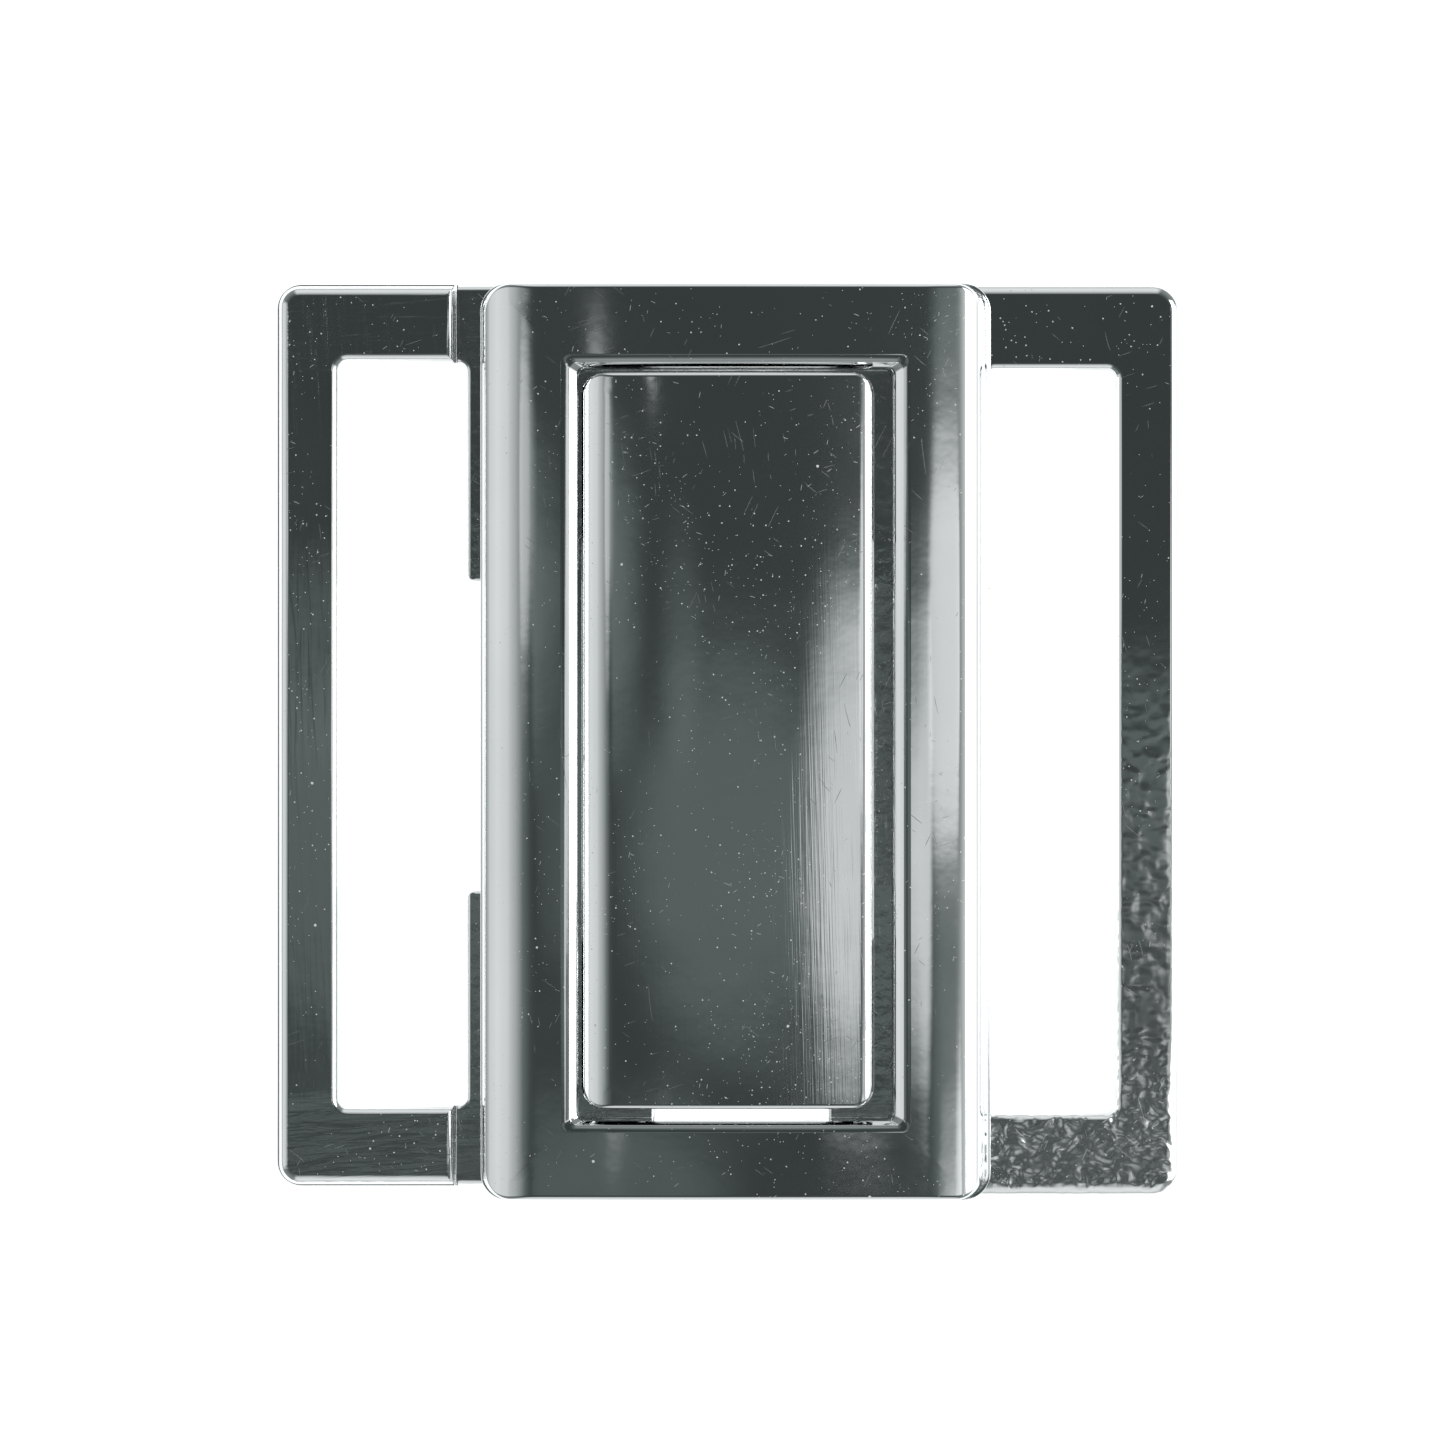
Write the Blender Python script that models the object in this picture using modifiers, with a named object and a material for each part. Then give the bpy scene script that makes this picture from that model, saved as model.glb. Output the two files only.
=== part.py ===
"""Interlocking belt clasp for 40 mm webbing, in two halves that hook together.

The hook half is a strap loop that steps down to a thin base, with a centre plate standing on it.
The frame half is a crowned plate with a window, and a strap loop fastened under its right bar.
Closed, the centre plate fills the window, and a ledge on the frame lies under the plate's left lip.

+X points to the frame half's strap, +Y runs along the strap slots, +Z comes out of the polished
face. The origin is in the middle of the clasp, on its back. All lengths are in metres.
"""
import math

import bmesh
import bpy

MM = 0.001
GAP = 0.3 * MM                       # between pieces that touch
ARC_STEPS = 6                        # straight pieces in a quarter turn
TURN_STEPS = 20                      # round a stud
SHARP = math.radians(50)             # edges sharper than this are rounded
WELD = 0.001 * MM                    # points closer than this are one point
MARGIN = 1 * MM                      # how far a cutter runs past what it cuts
OVERLAP = 0.5 * MM                   # how far a joined piece runs into its neighbour

# Both halves, in plan: (low x, high x, low y, high y)
HOOK_PLAN = (-24.3 * MM, 9.6 * MM, -23.9 * MM, 24.6 * MM)
LOOP_PLAN = (10.9 * MM, 24.3 * MM, -24.5 * MM, 24.62 * MM)
FRAME_PLAN = (-13.35 * MM, 14.05 * MM, -24.62 * MM, 24.62 * MM)
PLATE_PLAN = (-7.89 * MM, 7.76 * MM, -19.67 * MM, 19.81 * MM)
HOOK_CORNER = 1.2 * MM
LOOP_CORNER = 1.3 * MM
FRAME_CORNER = 1.5 * MM
PLATE_CORNER = 1.2 * MM
INNER_CORNER = 0.5 * MM              # corners of the slots and cored openings

# Strap slots for 40 mm webbing
HOOK_SLOT = (-20.95 * MM, -14.1 * MM, -19.6 * MM, 20.4 * MM)
LOOP_SLOT = (13.8 * MM, 20.8 * MM, -20.0 * MM, 20.0 * MM)

# Hook half: thick strap loop, thin base, and the cross-shaped opening under the centre plate
HOOK_LOOP_TOP = 3.4 * MM
BASE_TOP = 1.5 * MM
STEP_X = -14.8 * MM
CROSS_ARM_X = (-16.0 * MM, 6.3 * MM, -8.03 * MM, 8.62 * MM)
CROSS_ARM_Y = (-4.0 * MM, 5.35 * MM, -21.0 * MM, 19.0 * MM)
FLOOR_POCKET = (7.0 * MM, 9.0 * MM, -7.7 * MM, 8.5 * MM)
FLOOR_POCKET_Z = 1.1 * MM

# Centre plate: crowned face, a lip along its left side, and four corner legs
PLATE_UNDER = 3.3 * MM
PLATE_TOP = 4.95 * MM
PLATE_CROWN = 110 * MM
PLATE_LEFT_EDGE = (1.3 * MM, 0.65 * MM)     # width and drop of the rounding
PLATE_RIGHT_EDGE = (0.5 * MM, 0.5 * MM)
LEG_INSET = 0.45 * MM
LEG_WIDTH = (2.9 * MM, 1.65 * MM)          # left legs, right legs
LEG_LENGTH = 8.6 * MM
LEG_CORNER = 0.6 * MM

# Frame: crowned plate with a window whose walls lean in towards the back
FRAME_UNDER = BASE_TOP + GAP
FRAME_TOP = 5.0 * MM
FRAME_CROWN = 230 * MM
FRAME_LEFT_EDGE = (2.3 * MM, 1.2 * MM)
FRAME_RIGHT_EDGE = (1.7 * MM, 1.5 * MM)
FRAME_LEAN = 0.45 * MM               # how far the right side wall leans out to its foot
WINDOW_FACE = (-8.7 * MM, 9.17 * MM, -20.6 * MM, 20.48 * MM)
WINDOW_BACK = (-8.3 * MM, 8.76 * MM, -20.45 * MM, 20.2 * MM)
WINDOW_CORNER = 0.7 * MM
LEDGE_PLAN = (-10.0 * MM, -7.55 * MM, -8.63 * MM, 9.22 * MM)
LEDGE_TOP = 2.9 * MM

# Strap loop of the frame half, a flat plate whose left bar is held under the frame
LOOP_TOP = 2.2 * MM
SEAT_X = 8.6 * MM                    # the frame's underside is higher from here on
SEAT_Z = LOOP_TOP + GAP

# Peened studs that hold the plates: radius of the shank, radius of the head
STUD = (0.6 * MM, 0.85 * MM)
STUD_FLARE = (0.4 * MM, 0.8 * MM)
STUD_END = 0.15 * MM
FRAME_STUDS = [(12.35 * MM, y) for y in (-18.0 * MM, 0.06 * MM, 18.12 * MM)]

# The frame half comes off along this slope: a ratio of rise to sideways travel
RELEASE_SLOPE = 12 / 5

OUTER_ROUND = 0.6 * MM
EDGE_ROUND = 0.25 * MM


def clear_scene():
    for obj in list(bpy.data.objects):
        bpy.data.objects.remove(obj, do_unlink=True)


def new_collection(name):
    collection = bpy.data.collections.new(name)
    bpy.context.scene.collection.children.link(collection)
    return collection


def chrome(name, color, roughness):
    """Bright plating, a Principled material."""
    material = bpy.data.materials.new(name)
    material.use_nodes = True
    shader = material.node_tree.nodes["Principled BSDF"]
    shader.inputs["Base Color"].default_value = (*color, 1.0)
    shader.inputs["Metallic"].default_value = 1.0
    shader.inputs["Roughness"].default_value = roughness
    return material


def rounded_outline(plan, radius):
    """Points round a rectangle whose corners are quarter circles, counter-clockwise."""
    x0, x1, y0, y1 = plan
    centres = [(x1 - radius, y0 + radius, -90), (x1 - radius, y1 - radius, 0),
               (x0 + radius, y1 - radius, 90), (x0 + radius, y0 + radius, 180)]
    points = []
    for cx, cy, start in centres:
        for step in range(ARC_STEPS + 1):
            angle = math.radians(start + 90 * step / ARC_STEPS)
            points.append((cx + radius * math.cos(angle), cy + radius * math.sin(angle)))
    return points


def crown_height(x, plan, top, radius):
    """Height at x of a face that is an arc across its width."""
    offset = x - (plan[0] + plan[1]) / 2
    return top - radius + math.sqrt(radius ** 2 - offset ** 2)


def crowned_face(plan, top, radius, left_edge, right_edge):
    """Section of a crowned face with elliptical long edges, from its right side to its left."""
    points = []
    width, drop = right_edge
    shoulder_x = plan[1] - width
    shoulder_z = crown_height(shoulder_x, plan, top, radius)
    for step in range(ARC_STEPS + 1):
        angle = math.pi / 2 * step / ARC_STEPS
        points.append((shoulder_x + width * math.cos(angle),
                       shoulder_z - drop + drop * math.sin(angle)))
    width, drop = left_edge
    end_x = plan[0] + width
    for step in range(1, ARC_STEPS):
        x = shoulder_x + (end_x - shoulder_x) * step / ARC_STEPS
        points.append((x, crown_height(x, plan, top, radius)))
    shoulder_z = crown_height(end_x, plan, top, radius)
    for step in range(ARC_STEPS + 1):
        angle = math.pi / 2 * (1 + step / ARC_STEPS)
        points.append((end_x + width * math.cos(angle),
                       shoulder_z - drop + drop * math.sin(angle)))
    return points


def mesh_from_curve(curve_object, collection):
    """Turn a filled curve into a mesh with its caps welded, in the same place."""
    bpy.context.view_layer.update()
    evaluated = curve_object.evaluated_get(bpy.context.evaluated_depsgraph_get())
    mesh = bpy.data.meshes.new_from_object(evaluated)
    shell = bmesh.new()
    shell.from_mesh(mesh)
    bmesh.ops.remove_doubles(shell, verts=shell.verts, dist=WELD)
    bmesh.ops.recalc_face_normals(shell, faces=shell.faces)
    shell.to_mesh(mesh)
    shell.free()
    name = curve_object.name
    matrix = curve_object.matrix_world.copy()
    bpy.data.objects.remove(curve_object, do_unlink=True)
    solid = bpy.data.objects.new(name, mesh)
    collection.objects.link(solid)
    solid.matrix_world = matrix
    return solid


def filled_curve(name, outline, depth, collection):
    """A flat outline, extruded by depth about its own plane."""
    curve = bpy.data.curves.new(name, "CURVE")
    curve.dimensions = "2D"
    curve.fill_mode = "BOTH"
    curve.extrude = depth / 2
    spline = curve.splines.new("POLY")
    spline.points.add(len(outline) - 1)
    for point, (u, v) in zip(spline.points, outline):
        point.co = (u, v, 0, 1)
    spline.use_cyclic_u = True
    obj = bpy.data.objects.new(name, curve)
    collection.objects.link(obj)
    return obj


def slab(name, outline, z0, z1, collection):
    """A plan outline as a solid from z0 to z1."""
    obj = filled_curve(name, outline, z1 - z0, collection)
    obj.location.z = (z0 + z1) / 2
    return mesh_from_curve(obj, collection)


def bar(name, section, y0, y1, collection):
    """A section across X and Z as a solid from y0 to y1."""
    obj = filled_curve(name, section, y1 - y0, collection)
    obj.location.y = (y0 + y1) / 2
    obj.rotation_euler.x = math.pi / 2
    return mesh_from_curve(obj, collection)


def loft(name, lower, z0, upper, z1, collection):
    """A solid between two outlines with the same number of points."""
    mesh = bpy.data.meshes.new(name)
    shell = bmesh.new()
    rings = [[shell.verts.new((x, y, z)) for x, y in outline]
             for outline, z in ((lower, z0), (upper, z1))]
    shell.faces.new(reversed(rings[0]))
    shell.faces.new(rings[1])
    for index in range(len(lower)):
        after = (index + 1) % len(lower)
        shell.faces.new((rings[0][index], rings[0][after], rings[1][after], rings[1][index]))
    shell.to_mesh(mesh)
    shell.free()
    solid = bpy.data.objects.new(name, mesh)
    collection.objects.link(solid)
    return solid


def box(name, plan, z0, z1, collection):
    """A square-cornered block."""
    x0, x1, y0, y1 = plan
    mesh = bpy.data.meshes.new(name)
    shell = bmesh.new()
    bmesh.ops.create_cube(shell, size=1.0)
    bmesh.ops.scale(shell, vec=(x1 - x0, y1 - y0, z1 - z0), verts=shell.verts)
    shell.to_mesh(mesh)
    shell.free()
    solid = bpy.data.objects.new(name, mesh)
    solid.location = ((x0 + x1) / 2, (y0 + y1) / 2, (z0 + z1) / 2)
    collection.objects.link(solid)
    return solid


def turned(name, profile, x, y, collection):
    """A profile of radii and heights, turned about the upright line through (x, y)."""
    mesh = bpy.data.meshes.new(name)
    edges = [(index, index + 1) for index in range(len(profile) - 1)]
    mesh.from_pydata([(radius, 0, z) for radius, z in profile], edges, [])
    solid = bpy.data.objects.new(name, mesh)
    solid.location = (x, y, 0)
    collection.objects.link(solid)
    screw = solid.modifiers.new("turn", "SCREW")
    screw.steps = screw.render_steps = TURN_STEPS
    screw.use_merge_vertices = True
    screw.merge_threshold = WELD
    weld = solid.modifiers.new("weld", "WELD")
    weld.merge_threshold = WELD
    return solid


def boolean(target, other, operation):
    modifier = target.modifiers.new(f"{operation.lower()} {other.name}", "BOOLEAN")
    modifier.operation = operation
    modifier.solver = "EXACT"
    modifier.object = other


def round_edges(target, width, segments=2):
    """Round every edge that is still sharp."""
    modifier = target.modifiers.new("round", "BEVEL")
    modifier.width = width
    modifier.segments = segments
    modifier.limit_method = "ANGLE"
    modifier.angle_limit = SHARP


def stud_profile(top, bottom, clearance=0.0):
    """A shank that flares to a head at the back. With clearance, it is the hole for one."""
    shank, head = (radius + clearance for radius in STUD)
    flare_low, flare_high = STUD_FLARE
    return [(0, top), (shank, top), (shank, flare_high), (head, flare_low), (head, bottom), (0, bottom)]


def leg_plans():
    """The four corner legs of the centre plate."""
    x0, x1, y0, y1 = (PLATE_PLAN[0] + LEG_INSET, PLATE_PLAN[1] - LEG_INSET,
                      PLATE_PLAN[2] + LEG_INSET, PLATE_PLAN[3] - LEG_INSET)
    return [(low, high, *span)
            for low, high in ((x0, x0 + LEG_WIDTH[0]), (x1 - LEG_WIDTH[1], x1))
            for span in ((y0, y0 + LEG_LENGTH), (y1 - LEG_LENGTH, y1))]


def stud_places():
    """Middle of each leg of the centre plate, where its stud goes through the base."""
    return [((x0 + x1) / 2, (y0 + y1) / 2) for x0, x1, y0, y1 in leg_plans()]


def cut_stud_holes(target, places, top, cutters):
    for index, (x, y) in enumerate(places):
        profile = stud_profile(top, -MARGIN, GAP)
        boolean(target, turned(f"{target.name} stud hole {index}", profile, x, y, cutters), "DIFFERENCE")


def add_studs(target, places, top, cutters):
    for index, (x, y) in enumerate(places):
        profile = stud_profile(top, STUD_END)
        boolean(target, turned(f"{target.name} stud {index}", profile, x, y, cutters), "UNION")


def make_hook_base(parts, cutters):
    """Strap loop that steps down to the thin base under the frame."""
    base = slab("hook_base", rounded_outline(HOOK_PLAN, HOOK_CORNER), 0, HOOK_LOOP_TOP, parts)
    round_edges(base, OUTER_ROUND)
    beyond = (STEP_X, HOOK_PLAN[1] + MARGIN, HOOK_PLAN[2] - MARGIN, HOOK_PLAN[3] + MARGIN)
    boolean(base, box("step", beyond, BASE_TOP, HOOK_LOOP_TOP + MARGIN, cutters), "DIFFERENCE")
    openings = {"hook slot": HOOK_SLOT, "cross arm x": CROSS_ARM_X, "cross arm y": CROSS_ARM_Y}
    for name, plan in openings.items():
        outline = rounded_outline(plan, INNER_CORNER)
        boolean(base, slab(name, outline, -MARGIN, HOOK_LOOP_TOP + MARGIN, cutters), "DIFFERENCE")
    pocket = slab("floor pocket", rounded_outline(FLOOR_POCKET, INNER_CORNER),
                  FLOOR_POCKET_Z, BASE_TOP + MARGIN, cutters)
    boolean(base, pocket, "DIFFERENCE")
    cut_stud_holes(base, stud_places(), BASE_TOP + MARGIN, cutters)
    round_edges(base, EDGE_ROUND)
    return base


def make_centre_plate(parts, cutters):
    """Crowned plate on four legs. Its left lip is undercut along the release slope."""
    x0, x1, y0, y1 = PLATE_PLAN
    face = crowned_face(PLATE_PLAN, PLATE_TOP, PLATE_CROWN, PLATE_LEFT_EDGE, PLATE_RIGHT_EDGE)
    undercut_x = x0 + (face[-1][1] - PLATE_UNDER) / RELEASE_SLOPE
    section = face + [(undercut_x, PLATE_UNDER), (x1, PLATE_UNDER)]
    plate = bar("centre_plate", section, y0 - MARGIN, y1 + MARGIN, parts)
    outline = rounded_outline(PLATE_PLAN, PLATE_CORNER)
    boolean(plate, slab("centre plate outline", outline, 0, 2 * PLATE_TOP, cutters), "INTERSECT")
    for index, plan in enumerate(leg_plans()):
        leg = slab(f"leg {index}", rounded_outline(plan, LEG_CORNER), BASE_TOP + GAP,
                   PLATE_UNDER + OVERLAP, cutters)
        boolean(plate, leg, "UNION")
    add_studs(plate, stud_places(), PLATE_UNDER, cutters)
    round_edges(plate, EDGE_ROUND / 2)
    return plate


def make_front_frame(parts, cutters):
    """Crowned plate with the window, the catch ledge, and a raised seat for the strap loop."""
    x0, x1, y0, y1 = FRAME_PLAN
    face_plan = (x0, x1 - FRAME_LEAN, y0, y1)
    face = crowned_face(face_plan, FRAME_TOP, FRAME_CROWN, FRAME_LEFT_EDGE, FRAME_RIGHT_EDGE)
    underside = [(x0, FRAME_UNDER), (SEAT_X, FRAME_UNDER), (SEAT_X, SEAT_Z), (x1, SEAT_Z)]
    frame = bar("front_frame", face + underside, y0 - MARGIN, y1 + MARGIN, parts)
    outline = rounded_outline(FRAME_PLAN, FRAME_CORNER)
    boolean(frame, slab("frame outline", outline, 0, 2 * FRAME_TOP, cutters), "INTERSECT")
    boolean(frame, window_cutter(cutters), "DIFFERENCE")
    outline = rounded_outline(LEDGE_PLAN, INNER_CORNER)
    ledge = slab("catch ledge", outline, FRAME_UNDER, LEDGE_TOP, cutters)
    boolean(frame, ledge, "UNION")
    add_studs(frame, FRAME_STUDS, SEAT_Z + OVERLAP, cutters)
    round_edges(frame, EDGE_ROUND)
    return frame


def window_cutter(cutters):
    """The window's space, wider at the face than at the back."""
    def outline_at(z):
        share = (z - FRAME_UNDER) / (FRAME_TOP - FRAME_UNDER)
        plan = [back + (face - back) * share for back, face in zip(WINDOW_BACK, WINDOW_FACE)]
        return rounded_outline(plan, WINDOW_CORNER)
    below, above = FRAME_UNDER - MARGIN, FRAME_TOP + MARGIN
    return loft("window", outline_at(below), below, outline_at(above), above, cutters)


def make_frame_loop(parts, cutters):
    """Flat strap loop whose left bar lies under the frame's right bar."""
    loop = slab("frame_loop", rounded_outline(LOOP_PLAN, LOOP_CORNER), 0, LOOP_TOP, parts)
    round_edges(loop, OUTER_ROUND)
    outline = rounded_outline(LOOP_SLOT, INNER_CORNER)
    boolean(loop, slab("loop slot", outline, -MARGIN, LOOP_TOP + MARGIN, cutters), "DIFFERENCE")
    cut_stud_holes(loop, FRAME_STUDS, LOOP_TOP + MARGIN, cutters)
    round_edges(loop, EDGE_ROUND)
    return loop


def main():
    clear_scene()
    parts = new_collection("belt_clasp")
    cutters = new_collection("cutters")
    pieces = {
        make_hook_base: chrome("hook_base_chrome", (0.55, 0.57, 0.57), 0.13),
        make_centre_plate: chrome("centre_plate_chrome", (0.60, 0.62, 0.62), 0.07),
        make_front_frame: chrome("front_frame_chrome", (0.60, 0.62, 0.62), 0.06),
        make_frame_loop: chrome("frame_loop_chrome", (0.55, 0.57, 0.57), 0.16),
    }
    for make_piece, material in pieces.items():
        piece = make_piece(parts, cutters)
        piece.data.materials.append(material)
    for cutter in cutters.objects:
        cutter.hide_render = True
        cutter.display_type = "WIRE"


main()
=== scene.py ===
import math

import bmesh
import bpy
from mathutils import Matrix, Vector


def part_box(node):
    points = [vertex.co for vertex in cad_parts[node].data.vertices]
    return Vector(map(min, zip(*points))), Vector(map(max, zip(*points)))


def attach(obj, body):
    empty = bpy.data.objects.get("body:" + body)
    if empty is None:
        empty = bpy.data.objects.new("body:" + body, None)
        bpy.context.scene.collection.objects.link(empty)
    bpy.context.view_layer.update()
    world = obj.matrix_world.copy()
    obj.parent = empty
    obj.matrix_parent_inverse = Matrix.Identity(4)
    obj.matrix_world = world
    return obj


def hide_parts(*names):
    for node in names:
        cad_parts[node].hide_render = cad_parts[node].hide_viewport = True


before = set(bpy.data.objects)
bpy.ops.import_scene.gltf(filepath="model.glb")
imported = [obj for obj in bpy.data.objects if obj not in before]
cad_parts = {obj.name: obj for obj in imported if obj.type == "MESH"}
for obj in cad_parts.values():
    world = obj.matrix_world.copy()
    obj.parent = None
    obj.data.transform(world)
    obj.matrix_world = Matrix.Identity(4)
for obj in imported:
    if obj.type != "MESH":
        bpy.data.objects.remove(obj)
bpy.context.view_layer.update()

MM = 0.001

# Plans are (low x, high x, low y, high y). Pieces with their own outline take it from their CAD node.
WINDOW_EDGE = (-8.62 * MM, 9.40 * MM, -20.60 * MM, 20.42 * MM)    # a faint step in the face
WINDOW_FACE = (-8.50 * MM, 9.30 * MM, -20.46 * MM, 20.26 * MM)    # the top of the chamfer
WINDOW_WALL = (-8.14 * MM, 8.90 * MM, -20.27 * MM, 20.04 * MM)    # its foot
WINDOW_FOOT = (-8.11 * MM, 8.76 * MM, -20.25 * MM, 20.00 * MM)
WINDOW_CORNER = 0.45 * MM
WINDOW_STEP, WINDOW_CHAMFER = 0.02 * MM, 0.27 * MM                 # their depths
HOOK_SLOT = (-20.95 * MM, -14.1 * MM, -19.6 * MM, 20.4 * MM)
LOOP_SLOT = (13.8 * MM, 20.8 * MM, -20.0 * MM, 20.0 * MM)
CROSS_ARM_X = (-16.0 * MM, 6.3 * MM, -8.03 * MM, 8.62 * MM)
CROSS_ARM_Y = (-4.0 * MM, 5.35 * MM, -21.0 * MM, 19.0 * MM)
FLOOR_POCKET = (7.0 * MM, 9.0 * MM, -7.7 * MM, 8.5 * MM)
FLOOR_POCKET_Z = 1.1 * MM
INNER_CORNER = 0.5 * MM

HOOK_TOP = 3.4 * MM
BASE_TOP = 1.5 * MM
STEP_X = -14.8 * MM
LOOP_TOP = 2.2 * MM
FRAME_UNDER = 1.8 * MM
FRAME_TOP = 5.0 * MM
SEAT_X, SEAT_Z = 8.6 * MM, 2.5 * MM
PLATE_UNDER = 3.3 * MM
PLATE_TOP = 4.95 * MM
LEDGE = (-10.0 * MM, -7.55 * MM, -8.63 * MM, 9.22 * MM)
LEDGE_TOP = 2.9 * MM
RELEASE_SLOPE = 12 / 5

STUD_SHANK, STUD_HEAD = 0.6 * MM, 0.85 * MM
STUD_GAP = 0.3 * MM
FRAME_STUDS = [(12.35 * MM, y * MM) for y in (-18.0, 0.06, 18.12)]

SHOULDER_TURN = 0.8 * MM
CORNER_STEPS = 10
SIDE_STEPS = 56                       # along the sides that cross the crown


def link(obj):
    bpy.context.scene.collection.objects.link(obj)
    return obj


def plan_of(node):
    low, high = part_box(node)
    return (low[0], high[0], low[1], high[1])


def inset(plan, left, right=None, y=None):
    """A smaller plan. One number is taken off every side."""
    right = left if right is None else right
    y = left if y is None else y
    return (plan[0] + left, plan[1] - right, plan[2] + y, plan[3] - y)


def mix_plans(a, b, share):
    return tuple(p + (q - p) * share for p, q in zip(a, b))


# ---------------------------------------------------------------- shapes

def outline(plan, radius):
    """Points round a rounded rectangle, counter-clockwise from its lower right corner.

    Every outline has the same number of points, so that any two can be joined by quads.
    """
    x0, x1, y0, y1 = plan
    corners = [(x1 - radius, y0 + radius, -90), (x1 - radius, y1 - radius, 0),
               (x0 + radius, y1 - radius, 90), (x0 + radius, y0 + radius, 180)]
    points = []
    for index, (cx, cy, start) in enumerate(corners):
        for step in range(CORNER_STEPS + 1):
            angle = math.radians(start + 90 * step / CORNER_STEPS)
            points.append((cx + radius * math.cos(angle), cy + radius * math.sin(angle)))
        if index in (1, 3):
            a, b = points[-1], (x0 + radius, y1) if index == 1 else (x1 - radius, y0)
            for step in range(1, SIDE_STEPS):
                share = step / SIDE_STEPS
                points.append((a[0] + (b[0] - a[0]) * share, a[1]))
    return points


class Profile:
    """Height across X of a crowned face whose long edges fall away ever more steeply.

    Each edge is (width, drop). A shoulder (width, slope) lets the right side sink gently before its edge.
    """

    def __init__(self, x0, x1, top, crown, left, right, shoulder=(0, 0)):
        self.x0, self.x1, self.top, self.crown = x0, x1, top, crown
        self.left, self.right, self.shoulder = left, right, shoulder

    def __call__(self, x):
        offset = x - (self.x0 + self.x1) / 2
        height = self.top - self.crown + math.sqrt(self.crown ** 2 - offset ** 2)
        for depth, (width, drop) in ((x - self.x0, self.left), (self.x1 - x, self.right)):
            height -= drop * min(max(1 - depth / width, 0), 1) ** 3
        width, slope = self.shoulder
        run = max(0, x - self.x1 + width)
        turn = min(run, SHOULDER_TURN)
        return height - slope * (turn ** 2 / (2 * SHOULDER_TURN) + run - turn)


def fillet(depth, radius):
    """How far a quarter-round edge lies below its face, at a depth in from the wall."""
    part = max(0.0, 1 - depth / radius)
    return radius * (1 - math.sqrt(1 - part ** 2))


def eased(steps, span):
    """Depths from 0 to span, close together near 0, where an edge turns down to its wall."""
    return [span * (1 - math.cos(math.pi / 2 * step / steps)) for step in range(steps + 1)]


def add_ring(shell, plan, radius, height):
    """A row of points; height is a number or a function of x."""
    level = height if callable(height) else (lambda x: height)
    return [shell.verts.new((x, y, level(x))) for x, y in outline(plan, radius)]


def join_rings(shell, rings, closed):
    following = rings[1:] + rings[:1] if closed else rings[1:]
    for lower, upper in zip(rings, following):
        for index in range(len(lower)):
            after = (index + 1) % len(lower)
            shell.faces.new((lower[index], lower[after], upper[after], upper[index]))


def cover(shell, ring):
    """Fill a ring with strips along Y, which follow a crown across X."""
    half = len(ring) // 2
    turn = CORNER_STEPS + 1
    upper = ring[turn:turn + half]
    lower = (ring[turn + half:] + ring[:turn])[::-1]
    for index in range(half - 1):
        shell.faces.new((upper[index], upper[index + 1], lower[index + 1], lower[index]))


def finish_mesh(name, shell):
    bmesh.ops.recalc_face_normals(shell, faces=shell.faces)
    mesh = bpy.data.meshes.new(name)
    shell.to_mesh(mesh)
    shell.free()
    return link(bpy.data.objects.new(name, mesh))


def block(name, plan, z0, z1, radius=0.0):
    """A plain solid between two heights, with upright corners rounded if a radius is given."""
    shell = bmesh.new()
    if radius:
        rings = [add_ring(shell, plan, radius, z) for z in (z0, z1)]
        join_rings(shell, rings, closed=False)
        shell.faces.new(rings[0])
        shell.faces.new(rings[1])
    else:
        x0, x1, y0, y1 = plan
        bmesh.ops.create_cube(shell, size=1)
        bmesh.ops.scale(shell, vec=(x1 - x0, y1 - y0, z1 - z0), verts=shell.verts)
        bmesh.ops.translate(shell, vec=((x0 + x1) / 2, (y0 + y1) / 2, (z0 + z1) / 2), verts=shell.verts)
    return finish_mesh(name, shell)


def turned(name, profile, x, y):
    """A profile of (radius, height) points, top to bottom, turned about the upright line at (x, y)."""
    shell = bmesh.new()
    verts = [shell.verts.new((radius, 0, z)) for radius, z in profile]
    edges = [shell.edges.new(pair) for pair in zip(verts, verts[1:])]
    bmesh.ops.spin(shell, geom=verts + edges, cent=(0, 0, 0), axis=(0, 0, 1),
                   angle=math.tau, steps=36, use_merge=True)
    bmesh.ops.remove_doubles(shell, verts=shell.verts, dist=0.0001 * MM)
    bmesh.ops.translate(shell, vec=(x, y, 0), verts=shell.verts)
    return finish_mesh(name, shell)


def bake(obj):
    """Apply an object's modifiers to its mesh."""
    bpy.context.view_layer.update()
    mesh = bpy.data.meshes.new_from_object(obj.evaluated_get(bpy.context.evaluated_depsgraph_get()))
    old = obj.data
    obj.modifiers.clear()
    obj.data = mesh
    bpy.data.meshes.remove(old)


def combine(target, tools, operation):
    """Cut the tools from the target, or join them to it, and remove them."""
    for tool in tools:
        modifier = target.modifiers.new(operation.lower(), "BOOLEAN")
        modifier.operation = operation
        modifier.solver = "EXACT"
        modifier.object = tool
        bake(target)
        bpy.data.objects.remove(tool, do_unlink=True)


def shade(obj, degrees=40, weighted=False):
    obj.data.shade_smooth()
    obj.data.set_sharp_from_angle(angle=math.radians(degrees))
    if weighted:
        modifier = obj.modifiers.new("normals", "WEIGHTED_NORMAL")
        modifier.keep_sharp = True
        modifier.weight = 60
        bake(obj)


# ---------------------------------------------------------------- front frame

RIM = 0.12 * MM                       # the parting line stands this far out at the foot of the wall
RIM_TOP = 2.75 * MM
FRAME_LEAN = 0.45 * MM                # of the right side wall
FRAME_CORNER = 1.5 * MM
FRAME_CROWN = 230 * MM
FRAME_FILLET = 0.22 * MM


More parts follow.
